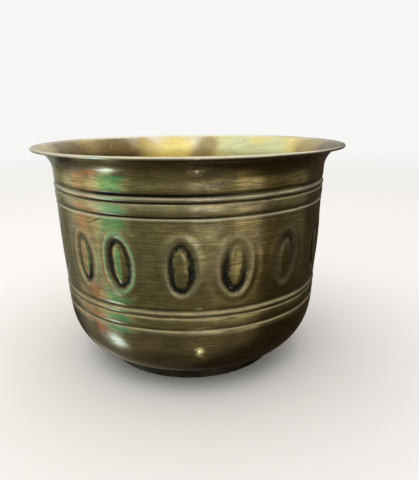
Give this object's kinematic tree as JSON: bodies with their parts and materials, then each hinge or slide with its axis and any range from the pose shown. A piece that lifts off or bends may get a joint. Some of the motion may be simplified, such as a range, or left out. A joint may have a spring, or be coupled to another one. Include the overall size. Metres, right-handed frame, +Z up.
{
  "type": "planter pot",
  "caption": "Spun brass planter pot with a flared wired rim, beaded bands, a belt of chased ovals and a soldered foot ring.",
  "frame": {"origin": "centre of the circle on which the foot ring stands, on the ground", "axes": "+Z up along the pot's axis; the front, whose ovals were seen, faces -Y; +X is to the right of it"},
  "size_m": [0.25, 0.2501, 0.176],
  "materials": {
    "aged_brass": "old lacquer over brushed brass, dark patina in the grooves and round the ovals",
    "foot_brass": "dark, unpolished, worn along the bottom edge",
    "wire_steel": "plain drawn wire, hidden in the curl",
    "soft_solder": "dull grey, as flowed"
  },
  "bodies": {
    "root": {"pot_body": "aged_brass", "rim_wire": "wire_steel", "foot_ring": "foot_brass", "foot_solder": "soft_solder"}
  },
  "joints": []
}
